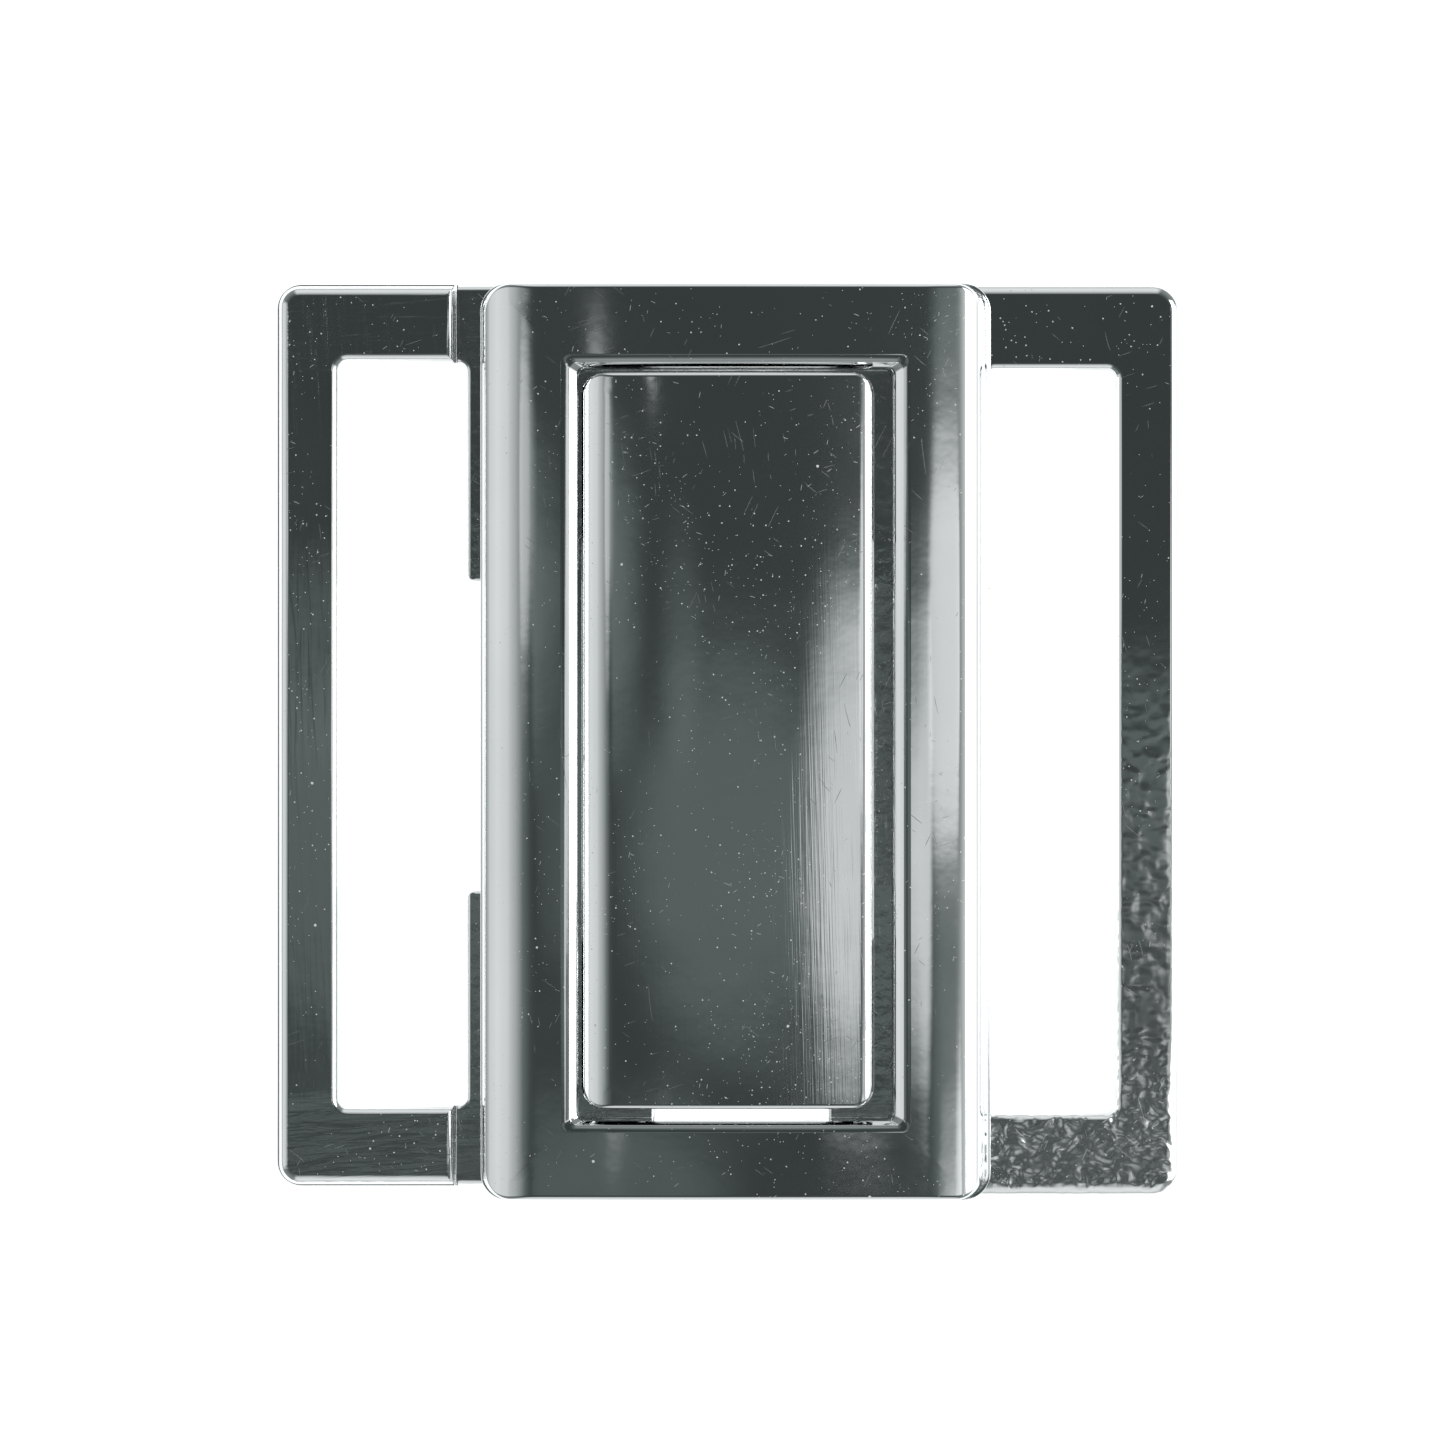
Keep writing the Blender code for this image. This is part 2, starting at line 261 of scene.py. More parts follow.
def make_front_frame():
    """Crowned plate with rounded long edges and a window, in rings from its foot over to the window."""
    foot = plan_of("front_frame")
    face = (foot[0] + RIM, foot[1] - FRAME_LEAN, foot[2] + RIM, foot[3] - RIM)
    profile = Profile(face[0], face[1], FRAME_TOP, FRAME_CROWN, (3.0 * MM, 1.0 * MM), (1.5 * MM, 0.65 * MM),
                      shoulder=(3.2 * MM, 0.055))
    shell = bmesh.new()
    rings = [add_ring(shell, inset(foot, depth), FRAME_CORNER - depth, FRAME_UNDER + height)
             for depth, height in ((0.15 * MM, 0), (0.04 * MM, 0.04 * MM), (0, 0.15 * MM))]
    rings += [add_ring(shell, inset(foot, depth), FRAME_CORNER - depth, RIM_TOP - drop)
              for depth, drop in ((0, 0.06 * MM), (0.02 * MM, 0.015 * MM), (0.04 * MM, 0), (RIM, 0))]
    depths = eased(12, FRAME_FILLET)
    depths += [FRAME_FILLET + 2.0 * MM * (step / 14) ** 1.3 for step in range(1, 15)]
    for depth in depths:
        rings.append(add_ring(shell, inset(face, depth), max(FRAME_CORNER - depth, 0.5 * MM),
                              lambda x: profile(x) - fillet(depth, FRAME_FILLET)))
    last = inset(face, depths[-1])
    for step in range(1, 7):
        rings.append(add_ring(shell, mix_plans(last, WINDOW_EDGE, step / 6), WINDOW_CORNER, profile))
    for plan, drop in ((inset(WINDOW_EDGE, 0.05 * MM), WINDOW_STEP),
                       (inset(WINDOW_FACE, -0.04 * MM), WINDOW_STEP),
                       (inset(WINDOW_FACE, -0.01 * MM), WINDOW_STEP + 0.01 * MM),
                       (mix_plans(WINDOW_FACE, WINDOW_WALL, 0.06), WINDOW_STEP + 0.05 * MM),
                       (mix_plans(WINDOW_FACE, WINDOW_WALL, 0.94), WINDOW_CHAMFER),
                       (WINDOW_WALL, WINDOW_CHAMFER + 0.08 * MM)):
        rings.append(add_ring(shell, plan, WINDOW_CORNER, lambda x: profile(x) - drop))
    rings.append(add_ring(shell, WINDOW_FOOT, WINDOW_CORNER, FRAME_UNDER + 0.1 * MM))
    rings.append(add_ring(shell, inset(WINDOW_FOOT, -0.1 * MM), WINDOW_CORNER, FRAME_UNDER))
    join_rings(shell, rings, closed=True)
    frame_piece = finish_mesh("front_frame_shell", shell)
    seat = block("seat", (SEAT_X, 20 * MM, -30 * MM, 30 * MM), 1 * MM, SEAT_Z)
    combine(frame_piece, [seat], "DIFFERENCE")
    ledge = block("ledge", LEDGE, FRAME_UNDER, LEDGE_TOP, INNER_CORNER)
    combine(frame_piece, [ledge] + studs(FRAME_STUDS, SEAT_Z + 0.5 * MM), "UNION")
    shade(frame_piece)
    return frame_piece


def studs(places, top):
    """Shanks with a peened head, slightly domed at the back."""
    head = [(STUD_HEAD, 0.4 * MM), (STUD_HEAD, 0.28 * MM), (0.93 * STUD_HEAD, 0.19 * MM),
            (0.7 * STUD_HEAD, 0.13 * MM), (0.35 * STUD_HEAD, 0.1 * MM), (0, 0.09 * MM)]
    profile = [(0, top), (STUD_SHANK, top), (STUD_SHANK, 0.8 * MM)] + head
    return [turned(f"stud_{index}", profile, x, y) for index, (x, y) in enumerate(places)]


def stud_holes(places, top):
    """The same with clearance round it, open at the back with a small countersink."""
    shank, head = STUD_SHANK + STUD_GAP * 0.4, STUD_HEAD + STUD_GAP * 0.4
    profile = [(0, top), (shank, top), (shank, 0.85 * MM), (head, 0.45 * MM), (head, 0.1 * MM),
               (head + 0.15 * MM, -0.05 * MM), (head + 0.15 * MM, -1 * MM), (0, -1 * MM)]
    return [turned(f"hole_{index}", profile, x, y) for index, (x, y) in enumerate(places)]


# ---------------------------------------------------------------- centre plate

PLATE_CORNER = 1.2 * MM
PLATE_END_TRIM = 0.05 * MM             # off each end of the plate
PLATE_CROWN = 110 * MM
PLATE_FILLET = 0.22 * MM
LEG_INSET = 0.45 * MM
LEG_WIDTHS = (2.9 * MM, 1.65 * MM)
LEG_LENGTH = 8.6 * MM


def leg_plans(plate):
    x0, x1, y0, y1 = inset(plate, LEG_INSET)
    return [(low, high, *span)
            for low, high in ((x0, x0 + LEG_WIDTHS[0]), (x1 - LEG_WIDTHS[1], x1))
            for span in ((y0, y0 + LEG_LENGTH), (y1 - LEG_LENGTH, y1))]


def middles(plans):
    return [((x0 + x1) / 2, (y0 + y1) / 2) for x0, x1, y0, y1 in plans]


def plate_plan():
    return inset(plan_of("centre_plate"), 0, 0, PLATE_END_TRIM)


def make_centre_plate():
    """Crowned plate, undercut along its left side, on four legs joined to its underside."""
    plan = plate_plan()
    profile = Profile(plan[0], plan[1], PLATE_TOP, PLATE_CROWN, (1.8 * MM, 0.6 * MM), (0.8 * MM, 0.32 * MM))
    undercut = (profile(plan[0]) - PLATE_FILLET - PLATE_UNDER) / RELEASE_SLOPE
    under = (plan[0] + undercut, plan[1], plan[2], plan[3])
    shell = bmesh.new()
    rings = [add_ring(shell, inset(under, depth), PLATE_CORNER - depth, PLATE_UNDER + height)
             for depth, height in ((0.12 * MM, 0), (0.03 * MM, 0.03 * MM), (0, 0.12 * MM))]
    depths = eased(10, PLATE_FILLET)
    depths += [PLATE_FILLET + 1.0 * MM * (step / 12) ** 1.2 for step in range(1, 13)]
    for depth in depths:
        rings.append(add_ring(shell, inset(plan, depth), max(PLATE_CORNER - depth, 0.3 * MM),
                              lambda x: profile(x) - fillet(depth, PLATE_FILLET)))
    join_rings(shell, rings, closed=False)
    cover(shell, rings[-1])
    shell.faces.new(rings[0])
    plate = finish_mesh("centre_plate_shell", shell)
    plans = leg_plans(plan)
    legs = [block(f"leg_{index}", leg, BASE_TOP + 0.02 * MM, PLATE_UNDER + 0.3 * MM, 0.5 * MM)
            for index, leg in enumerate(plans)]
    combine(plate, legs + studs(middles(plans), PLATE_UNDER), "UNION")
    shade(plate)
    return plate


# ---------------------------------------------------------------- frame loop

LOOP_CORNER = 1.5 * MM


def make_frame_loop():
    """Flat strap loop in rings, from its back round its outer edge to the slot."""
    plan = plan_of("frame_loop")
    shell = bmesh.new()
    outer, inner = 0.6 * MM, 0.35 * MM
    rings = [add_ring(shell, inset(plan, depth), LOOP_CORNER - depth, height)
             for depth, height in ((0.3 * MM, 0), (0.09 * MM, 0.09 * MM), (0, 0.3 * MM))]
    for depth in eased(8, outer):
        height = LOOP_TOP - fillet(depth, outer)
        rings.append(add_ring(shell, inset(plan, depth), LOOP_CORNER - depth, height))
    for depth in reversed(eased(8, inner)):
        rings.append(add_ring(shell, inset(LOOP_SLOT, -depth), INNER_CORNER + depth,
                              LOOP_TOP - fillet(depth, inner)))
    rings += [add_ring(shell, inset(LOOP_SLOT, -depth), INNER_CORNER + depth, height)
              for depth, height in ((0, 0.2 * MM), (0.06 * MM, 0.06 * MM), (0.2 * MM, 0))]
    join_rings(shell, rings, closed=True)
    loop = finish_mesh("frame_loop_shell", shell)
    combine(loop, stud_holes(FRAME_STUDS, LOOP_TOP + 1 * MM), "DIFFERENCE")
    shade(loop, weighted=True)
    return loop


# ---------------------------------------------------------------- hook base

HOOK_CORNER = 1.3 * MM
HOOK_ROUND = 0.55 * MM
HOOK_RIM, HOOK_RIM_TOP = 0.15 * MM, 1.8 * MM
STEP_ROUND, STEP_FILLET = 0.35 * MM, 0.2 * MM
TONGUE_ROUND = 0.5 * MM               # where the notch for the frame's ledge meets the slot
HIDE = 0.02 * MM                      # keeps joined pieces off the same plane


def swept(name, points, y0, y1):
    """A straight solid along Y from its (x, z) outline."""
    shell = bmesh.new()
    ends = [[shell.verts.new((x, y, z)) for x, z in points] for y in (y0, y1)]
    join_rings(shell, ends, closed=False)
    for end in ends:
        shell.faces.new(end)
    return finish_mesh(name, shell)


def slab(name, plan, radius, top, edge, foot, rim=0.0, rim_top=0.0):
    """A flat solid with a quarter-round top edge and a smaller one at its foot.

    A rim, where the two halves of the mould met, can stand out from the wall below the edge.
    """
    shell = bmesh.new()
    levels = [(depth, fillet(depth, foot)) for depth in reversed(eased(4, foot))]
    if rim:
        levels += [(0, rim_top - 0.05 * MM), (0.03 * MM, rim_top), (rim, rim_top)]
    levels += [(rim + depth, top - fillet(depth, edge)) for depth in eased(8, edge)]
    rings = [add_ring(shell, inset(plan, depth), radius - depth, height) for depth, height in levels]
    join_rings(shell, rings, closed=False)
    shell.faces.new(rings[0])
    shell.faces.new(rings[-1])
    return finish_mesh(name, shell)


def opening(name, plan, top, edge, foot=0.2 * MM):
    """A cutter for an opening whose edges are rounded at its top and foot."""
    shell = bmesh.new()
    levels = [(foot, -1 * MM)] + [(depth, fillet(depth, foot)) for depth in reversed(eased(4, foot))]
    levels += [(depth, top - fillet(depth, edge)) for depth in eased(6, edge)] + [(edge, top + 1 * MM)]
    rings = [add_ring(shell, inset(plan, -depth), INNER_CORNER + depth, height) for depth, height in levels]
    join_rings(shell, rings, closed=False)
    shell.faces.new(rings[0])
    shell.faces.new(rings[-1])
    return finish_mesh(name, shell)


def corner_cutter(name, x, y, up):
    """What a rounding takes off the base's upright corner at (x, y), with material beyond x and up."""
    reach = TONGUE_ROUND
    points = [(x - reach, y - up * reach), (x + reach, y - up * reach)]
    for step in range(9):
        angle = math.pi / 2 * step / 8
        points.append((x + reach - reach * math.sin(angle), y + up * (reach - reach * math.cos(angle))))
    points.append((x - reach, y + up * reach))
    shell = bmesh.new()
    ends = [[shell.verts.new((px, py, z)) for px, py in points] for z in (-1 * MM, 2 * MM)]
    join_rings(shell, ends, closed=False)
    for end in ends:
        shell.faces.new(end)
    return finish_mesh(name, shell)


def step_cutter():
    """Everything beyond the step, whose top edge is rounded and whose foot has a small fillet."""
    foot_x = STEP_X + STEP_FILLET
    points = [(foot_x, -1 * MM), (foot_x, BASE_TOP - 0.02 * MM)]
    for step in range(7):
        angle = math.pi / 2 * step / 6
        points.append((foot_x - STEP_FILLET * math.sin(angle),
                       BASE_TOP + STEP_FILLET * (1 - math.cos(angle))))
    for step in range(9):
        angle = math.pi / 2 * step / 8
        points.append((STEP_X - STEP_ROUND * (1 - math.cos(angle)),
                       HOOK_TOP - STEP_ROUND * (1 - math.sin(angle))))
    points += [(STEP_X - STEP_ROUND, 10 * MM), (20 * MM, 10 * MM), (20 * MM, -1 * MM)]
    return swept("beyond_step", points, -30 * MM, 30 * MM)


def make_hook_base(plate):
    """Thick strap loop that steps down to the thin base, with its slot and cored openings."""
    plan = plan_of("hook_base")
    base = slab("hook_base_shell", (plan[0], -13 * MM, plan[2], plan[3]), HOOK_CORNER, HOOK_TOP, HOOK_ROUND,
                0.3 * MM, HOOK_RIM, HOOK_RIM_TOP)
    combine(base, [opening("slot", HOOK_SLOT, HOOK_TOP, 0.4 * MM), step_cutter()], "DIFFERENCE")
    thin = slab("thin_base", (-17 * MM, plan[1], plan[2] + HIDE, plan[3] - HIDE), HOOK_CORNER, BASE_TOP,
                0.3 * MM, 0.25 * MM)
    slot = (HOOK_SLOT[0], HOOK_SLOT[1], HOOK_SLOT[2] - HIDE, HOOK_SLOT[3] + HIDE)
    cuts = [opening(name, place, BASE_TOP, 0.2 * MM)
            for name, place in (("slot", slot), ("arm_x", CROSS_ARM_X), ("arm_y", CROSS_ARM_Y))]
    cuts.append(block("pocket", FLOOR_POCKET, FLOOR_POCKET_Z, 10 * MM, INNER_CORNER))
    cuts.append(corner_cutter("tongue_low", HOOK_SLOT[1], CROSS_ARM_X[2], -1))
    cuts.append(corner_cutter("tongue_high", HOOK_SLOT[1], CROSS_ARM_X[3], 1))
    combine(thin, cuts, "DIFFERENCE")
    thin.data.transform(Matrix.Translation((0, 0, HIDE / 2)))
    combine(base, [thin], "UNION")
    combine(base, stud_holes(middles(leg_plans(plate)), 10 * MM), "DIFFERENCE")
    shade(base, weighted=True)
    return base


# ---------------------------------------------------------------- materials

def add(tree, kind, inputs=None, **settings):
    """A shader node. Inputs are given by name, as values or as other nodes' outputs."""
    node = tree.nodes.new("ShaderNode" + kind)
    for name, value in settings.items():
        setattr(node, name, value)
    for name, value in (inputs or {}).items():
        if isinstance(value, bpy.types.NodeSocket):
            tree.links.new(value, node.inputs[name])
        else:
            node.inputs[name].default_value = value
    return node


def maths(tree, operation, a, b=0.0, c=0.0, clamp=False):
    return add(tree, "Math", {0: a, 1: b, 2: c}, operation=operation, use_clamp=clamp).outputs[0]


def smooth_step(tree, value, low, high, start=0.0, end=1.0):
    inputs = {"Value": value, "From Min": low, "From Max": high, "To Min": start, "To Max": end}
    return add(tree, "MapRange", inputs, interpolation_type="SMOOTHSTEP").outputs["Result"]


def noise(tree, place, scale, detail=2.0, distortion=0.0):
    """Clouds between about 0 and 1; scale is in clouds a metre."""
    inputs = {"Vector": place, "Scale": scale, "Detail": detail, "Distortion": distortion}
    return add(tree, "TexNoise", inputs).outputs["Fac"]


def stretched(tree, place, size, turn=0):
    """Coordinates in cells of the given size in metres, turned about Z."""
    inputs = {"Vector": place, "Rotation": (0, 0, math.radians(turn)), "Scale": size}
    return add(tree, "Mapping", inputs, vector_type="TEXTURE").outputs[0]


def spots(tree, cells, radius, share):
    """1 inside a dot in some of the cells, in a share of them."""
    voronoi = add(tree, "TexVoronoi", {"Vector": cells, "Scale": 1.0})
    dot = maths(tree, "LESS_THAN", voronoi.outputs["Distance"], radius)
    pick = add(tree, "SeparateColor", {0: voronoi.outputs["Color"]}).outputs[0]
    return maths(tree, "MULTIPLY", dot, maths(tree, "LESS_THAN", pick, share))


def total(tree, values):
    result = values[0]
    for value in values[1:]:
        result = maths(tree, "ADD", result, value)
    return result


def scaled(tree, value, factor):
    return maths(tree, "MULTIPLY", value, factor)


# Turn in degrees, length in millimetres and share of the places that have one
HAIR_SCRATCHES = ((18, 9, 0.10), (64, 6, 0.12), (97, 14, 0.09), (-38, 5, 0.12), (-75, 8, 0.08))


class Plating:
    """Bright chrome over a zinc casting. The relief is summed in millimetres before one bump node."""

    def __init__(self, name, dust):
        self.material = bpy.data.materials.new(name)
        self.material.use_nodes = True
        self.tree = tree = self.material.node_tree
        coordinates = add(tree, "TexCoord")
        self.place = coordinates.outputs["Object"]
        split = add(tree, "SeparateXYZ", {0: self.place})
        self.x, self.y, self.z = split.outputs
        facing = add(tree, "SeparateXYZ", {0: coordinates.outputs["Normal"]}).outputs["Z"]
        self.back = smooth_step(tree, facing, -0.3, -0.8)
        self.roughness = [scaled(tree, noise(tree, self.place, 220, 3), 0.07)]
        self.relief = [scaled(tree, noise(tree, self.place, 140, 1), 0.012),
                       scaled(tree, noise(tree, self.place, 900, 2), 0.0010)]
        self.wear(dust)
        self.cast_back()

    def wear(self, dust):
        """Hair scratches in several directions, short tool marks, dust specks and a few larger nicks."""
        tree = self.tree
        sway = scaled(tree, noise(tree, self.place, 300, 1), 0.5 * MM)
        bent = add(tree, "VectorMath", {0: self.place, 1: sway}, operation="ADD").outputs[0]
        for turn, length, share in HAIR_SCRATCHES:
            cells = stretched(tree, bent, (length * MM, 0.13 * MM, 0.13 * MM), turn)
            self.roughness.append(scaled(tree, spots(tree, cells, 0.13, share), 0.22))
        cluster = smooth_step(tree, noise(tree, self.place, 160, 2), 0.40, 0.65, 0.12, 1.0)
        share = scaled(tree, cluster, dust)
        marks = [spots(tree, stretched(tree, bent, (1.3 * MM, 0.14 * MM, 0.14 * MM), turn), 0.13,
                       scaled(tree, share, 0.08)) for turn in (35, -20, 80)]
        fine = [spots(tree, stretched(tree, self.place, (size * MM,) * 3, turn), radius, share)
                for size, radius, turn in ((0.22, 0.10, 10), (0.40, 0.10, 40))]
        nick = spots(tree, stretched(tree, self.place, (1.5 * MM,) * 3), 0.05, 0.25)
        self.specks = total(tree, fine + [nick])
        self.roughness += [scaled(tree, self.specks, 0.7), scaled(tree, total(tree, marks), 0.4)]

    def cast_back(self):
        """The back is as cast: duller and slightly uneven."""
        tree = self.tree
        grain = noise(tree, self.place, 1500, 3)
        self.roughness.append(scaled(tree, self.back, 0.20))
        self.relief.append(scaled(tree, maths(tree, "MULTIPLY", grain, self.back), 0.02))

    def finish(self):
        tree = self.tree
        shader = tree.nodes["Principled BSDF"]
        shader.inputs["Metallic"].default_value = 1
        tone = maths(tree, "ADD", noise(tree, self.place, 60, 4), scaled(tree, self.specks, 0.8))
        ramp = add(tree, "ValToRGB", {"Fac": tone})
        ramp.color_ramp.elements[0].color = (0.72, 0.745, 0.745, 1)
        ramp.color_ramp.elements[1].color = (0.93, 0.94, 0.94, 1)
        tree.links.new(ramp.outputs["Color"], shader.inputs["Base Color"])
        rough = maths(tree, "ADD", total(tree, self.roughness), 0.015, clamp=True)
        tree.links.new(rough, shader.inputs["Roughness"])
        bump = add(tree, "Bump", {"Height": total(tree, self.relief), "Distance": MM, "Strength": 1.0})
        tree.links.new(bump.outputs["Normal"], shader.inputs["Normal"])
        return self.material


def frame_chrome():
    plating = Plating("front_frame_chrome", 0.45)
    return plating.finish()


def plate_chrome():
    """The centre plate keeps fine upright brush lines, clearest towards its lower right."""
    plating = Plating("centre_plate_chrome", 0.75)
    tree = plating.tree
    lines = noise(tree, stretched(tree, plating.place, (0.11 * MM, 9 * MM, 1 * MM), 1.5), 1.0, 2)
    right = smooth_step(tree, plating.x, -3 * MM, 5 * MM, 0.15, 1.0)
    low = smooth_step(tree, plating.y, 6 * MM, -8 * MM, 0.25, 1.0)
    strength = scaled(tree, maths(tree, "MULTIPLY", right, low), 0.0022)
    plating.relief.append(maths(tree, "MULTIPLY", lines, strength))
    return plating.finish()


def loop_chrome():
    """The frame loop is poorly polished: orange peel that grows into ridges along its lower bar."""
    plating = Plating("frame_loop_chrome", 0.55)
    tree = plating.tree
    down = smooth_step(tree, plating.y, 8 * MM, -16 * MM)
    inner = maths(tree, "MULTIPLY", smooth_step(tree, plating.x, 24.25 * MM, 23.5 * MM),
                  smooth_step(tree, plating.y, -24.4 * MM, -23.7 * MM))
    peel = maths(tree, "MULTIPLY", noise(tree, plating.place, 1050, 1, 0.2), inner)
    plating.relief.append(maths(tree, "MULTIPLY", peel, scaled(tree, down, 0.05)))
    plating.roughness.append(scaled(tree, down, 0.10))
    worm = maths(tree, "ABSOLUTE", maths(tree, "SUBTRACT", noise(tree, plating.place, 900, 1, 0.3), 0.5))
    bottom = maths(tree, "MULTIPLY", smooth_step(tree, plating.y, -14 * MM, -20.5 * MM), inner)
    blobs = total(tree, [scaled(tree, smooth_step(tree, worm, 0.2, 0.0), 0.4), peel])
    plating.relief.append(maths(tree, "MULTIPLY", blobs, scaled(tree, bottom, 0.085)))
    plating.roughness.append(scaled(tree, bottom, 0.05))
    corner = maths(tree, "MULTIPLY", smooth_step(tree, plating.y, 19.5 * MM, 21 * MM),
                   smooth_step(tree, plating.x, 18 * MM, 14.5 * MM))
    pits = spots(tree, stretched(tree, plating.place, (0.3 * MM,) * 3), 0.14, scaled(tree, corner, 0.7))
    plating.roughness.append(scaled(tree, pits, 0.6))
    return plating.finish()


def hook_chrome():
    """The hook half has streaks along its lower bar and a mottled, as-cast floor."""
    plating = Plating("hook_base_chrome", 0.6)
    tree = plating.tree
    streaks = noise(tree, stretched(tree, plating.place, (4 * MM, 0.5 * MM, 4 * MM), 4), 1.0, 3, 0.6)
    bars = total(tree, [smooth_step(tree, plating.y, -18.5 * MM, -20.5 * MM),
                        smooth_step(tree, plating.y, 19 * MM, 21 * MM, 0, 0.3)])
    plating.relief.append(maths(tree, "MULTIPLY", streaks, scaled(tree, bars, 0.022)))
    plating.roughness.append(scaled(tree, bars, 0.07))
    upright = noise(tree, stretched(tree, plating.place, (0.5 * MM, 7 * MM, 4 * MM), 2), 1.0, 2, 0.4)
    plating.relief.append(scaled(tree, upright, 0.006))
    floor = maths(tree, "MULTIPLY", smooth_step(tree, plating.x, STEP_X, STEP_X + 1 * MM),
                  smooth_step(tree, plating.z, BASE_TOP + 0.1 * MM, BASE_TOP - 0.1 * MM))
    mottle = noise(tree, plating.place, 1100, 3)
    plating.relief.append(maths(tree, "MULTIPLY", mottle, scaled(tree, floor, 0.03)))
    plating.roughness.append(scaled(tree, floor, 0.08))
    return plating.finish()


# ---------------------------------------------------------------- studio

CAMERA_AIM = Vector((-0.35 * MM, 1.03 * MM, 0))
CAMERA_HEIGHT = 400 * MM
VIEW_WIDTH = 78.1 * MM
SENSOR = 36


def make_camera():
    """Straight down on the clasp's face, with +Y up in the picture."""
    data = bpy.data.cameras.new("camera")
    data.sensor_width = SENSOR
    data.lens = SENSOR * CAMERA_HEIGHT / VIEW_WIDTH
    data.clip_start = 10 * MM
    data.clip_end = 10
    camera = link(bpy.data.objects.new("camera", data))
    camera.location = CAMERA_AIM + Vector((0, 0, CAMERA_HEIGHT))
    bpy.context.scene.camera = camera


def softbox(name, azimuth, elevation, distance, size, power):
    """A rectangular lamp that looks at the clasp. Azimuth turns from +X towards +Y."""
    data = bpy.data.lights.new(name, "AREA")
    data.shape = "RECTANGLE"
    data.size, data.size_y = size
    data.energy = power
    lamp = link(bpy.data.objects.new(name, data))
    a, e = math.radians(azimuth), math.radians(elevation)
    towards = Vector((math.cos(a) * math.cos(e), math.sin(a) * math.cos(e), math.sin(e)))
    lamp.location = towards * distance
    lamp.rotation_euler = towards.to_track_quat("Z", "Y").to_euler()
    lamp.visible_camera = False


# Soft patches of light: degrees from the zenith towards +X and +Y, half widths, turn, softness, power.
GLOWS = (
    (0.3, -1.0, 8.5, 2.0, 0, 0.5, 0.085),
    (-7.4, 0.9, 2.6, 1.7, 0, 0.8, 0.11),
    (-3.0, 0.6, 1.8, 1.2, 0, 0.8, 0.05),
    (-4.5, -3.6, 6.0, 0.9, 0, 0.6, 0.07),
    (7.8, -0.95, 3.4, 2.6, 0, 0.6, 0.60),
    (13.5, 0.6, 5.5, 1.9, 0, 0.35, 0.62),
    (-14, 1.8, 7.0, 1.8, 0, 0.6, 0.40),
    (18, -4.2, 6.0, 2.0, 0, 0.5, 0.60),
    (-4.6, 2.92, 0.28, 0.25, -20, 0.5, 0.7),
    (-4.0, -3.22, 0.3, 0.13, 10, 0.6, 0.5),
    (4.4, -3.17, 1.5, 0.08, 0, 0.5, 0.5),
    (64, 0, 25, 22, 0, 0.5, 0.45),
)


ENDLESS = 1000                        # a glow's shape doesn't depend on height


def glow(tree, direction, place):
    u, v, width, height, turn, softness, power = place
    centre = (math.sin(math.radians(u)), math.sin(math.radians(v)), 0)
    size = (math.radians(width), math.radians(height), ENDLESS)
    inputs = {"Vector": direction, "Location": centre, "Rotation": (0, 0, math.radians(turn)), "Scale": size}
    local = add(tree, "Mapping", inputs, vector_type="TEXTURE").outputs[0]
    ball = add(tree, "TexGradient", {"Vector": local}, gradient_type="SPHERICAL").outputs["Fac"]
    return smooth_step(tree, ball, 0, softness, 0, power)


def height_ramp(tree, height, stops):
    """A grey that depends on how high a direction points."""
    ramp = add(tree, "ValToRGB", {"Fac": height})
    elements = ramp.color_ramp.elements
    while len(elements) < len(stops):
        elements.new(0.5)
    for element, (position, value) in zip(elements, stops):
        element.position = position
        element.color = (value, value, value, 1)
    return ramp.outputs["Color"]


# Height of a direction, from 0 at the horizon to 1 overhead, and how light it is there
ROOM = ((0.0, 0.42), (0.04, 0.38), (0.14, 0.28), (0.5, 0.26), (0.77, 0.17), (0.95, 0.085), (0.985, 0.057),
        (1.0, 0.05))
PANEL = ((0.05, 0.0), (0.2, 0.55), (0.47, 0.66), (0.77, 0.62), (0.906, 0.38), (0.94, 0.25), (0.966, 0.11),
         (0.99, 0.0))
PANEL_EDGE = (0.90, 0.98)             # cosine of the angle from an axis, where a panel starts and is full
SIDE_TINT = (0.10, 0.0, 0)            # a little lighter towards +X


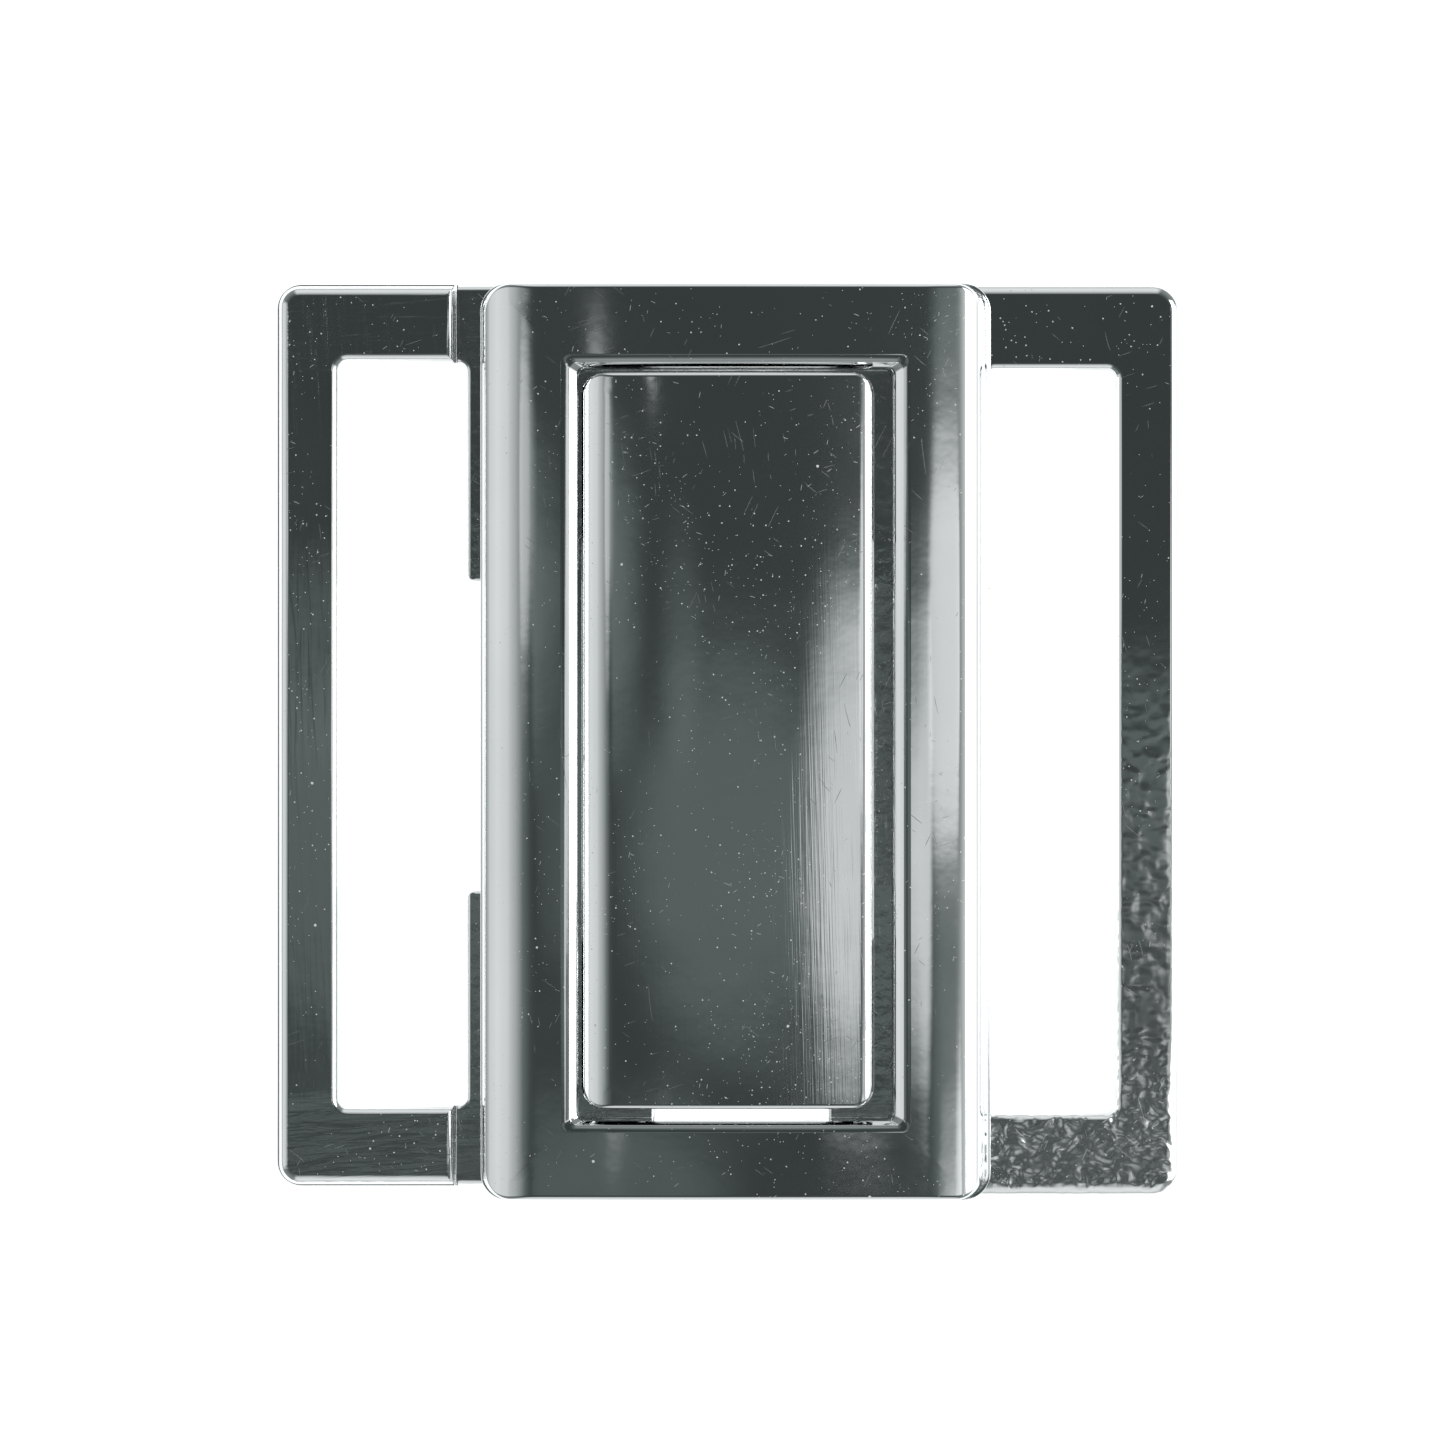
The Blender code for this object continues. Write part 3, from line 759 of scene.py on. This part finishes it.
def make_world():
    """Dark overhead with soft patches, and panels of light in line with the X and Y axes."""
    world = bpy.data.worlds.new("studio")
    bpy.context.scene.world = world
    world.use_nodes = True
    tree = world.node_tree
    direction = add(tree, "TexCoord").outputs["Generated"]
    x, y, z = add(tree, "SeparateXYZ", {0: direction}).outputs
    room = height_ramp(tree, z, ROOM)
    panel = height_ramp(tree, z, PANEL)
    across = maths(tree, "MAXIMUM", maths(tree, "ABSOLUTE", x), maths(tree, "ABSOLUTE", y))
    level = maths(tree, "SQRT", maths(tree, "SUBTRACT", 1.0, maths(tree, "MULTIPLY", z, z)))
    facing = smooth_step(tree, maths(tree, "DIVIDE", across, level), *PANEL_EDGE)
    tint = add(tree, "VectorMath", {0: direction, 1: SIDE_TINT}, operation="DOT_PRODUCT")
    side = tint.outputs["Value"]
    light = maths(tree, "ADD", room, maths(tree, "MULTIPLY", panel, facing))
    light = maths(tree, "MULTIPLY", light, maths(tree, "ADD", side, 0.97))
    for place in GLOWS:
        light = maths(tree, "ADD", light, glow(tree, direction, place))
    red = maths(tree, "MAXIMUM", maths(tree, "MULTIPLY", light, 0.85), maths(tree, "SUBTRACT", light, 0.02))
    color = add(tree, "CombineColor", {"Red": red, "Green": light, "Blue": light}).outputs[0]
    tree.links.new(color, tree.nodes["Background"].inputs["Color"])


FLOOR_GLOW = 0.70                     # emission strength, the same from every side
FLOOR_DROP = 0.02 * MM


def make_floor():
    """A pale floor that glows evenly, like a light table."""
    mesh = bpy.data.meshes.new("floor")
    shell = bmesh.new()
    bmesh.ops.create_grid(shell, x_segments=1, y_segments=1, size=1.5)
    shell.to_mesh(mesh)
    shell.free()
    floor = link(bpy.data.objects.new("floor", mesh))
    floor.location.z = -FLOOR_DROP
    material = bpy.data.materials.new("pale_floor")
    material.use_nodes = True
    tree = material.node_tree
    shader = tree.nodes["Principled BSDF"]
    shader.inputs["Base Color"].default_value = (0.93, 0.93, 0.93, 1)
    shader.inputs["Roughness"].default_value = 0.9
    shader.inputs["Specular IOR Level"].default_value = 0.1
    shader.inputs["Emission Color"].default_value = (1, 1, 1, 1)
    shader.inputs["Emission Strength"].default_value = FLOOR_GLOW
    mesh.materials.append(material)


def make_studio():
    make_camera()
    make_world()
    make_floor()
    bpy.context.scene.view_settings.view_transform = "Standard"
    softbox("key", 15, 42, 1.2, (0.6, 0.6), 5)


make_studio()
pieces = {
    "front_frame": (make_front_frame(), "frame_half", frame_chrome()),
    "centre_plate": (make_centre_plate(), "hook_half", plate_chrome()),
    "frame_loop": (make_frame_loop(), "frame_half", loop_chrome()),
    "hook_base": (make_hook_base(plate_plan()), "hook_half", hook_chrome()),
}
for node, (piece, body, material) in pieces.items():
    piece.data.materials.clear()
    piece.data.materials.append(material)
    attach(piece, body)
    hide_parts(node)
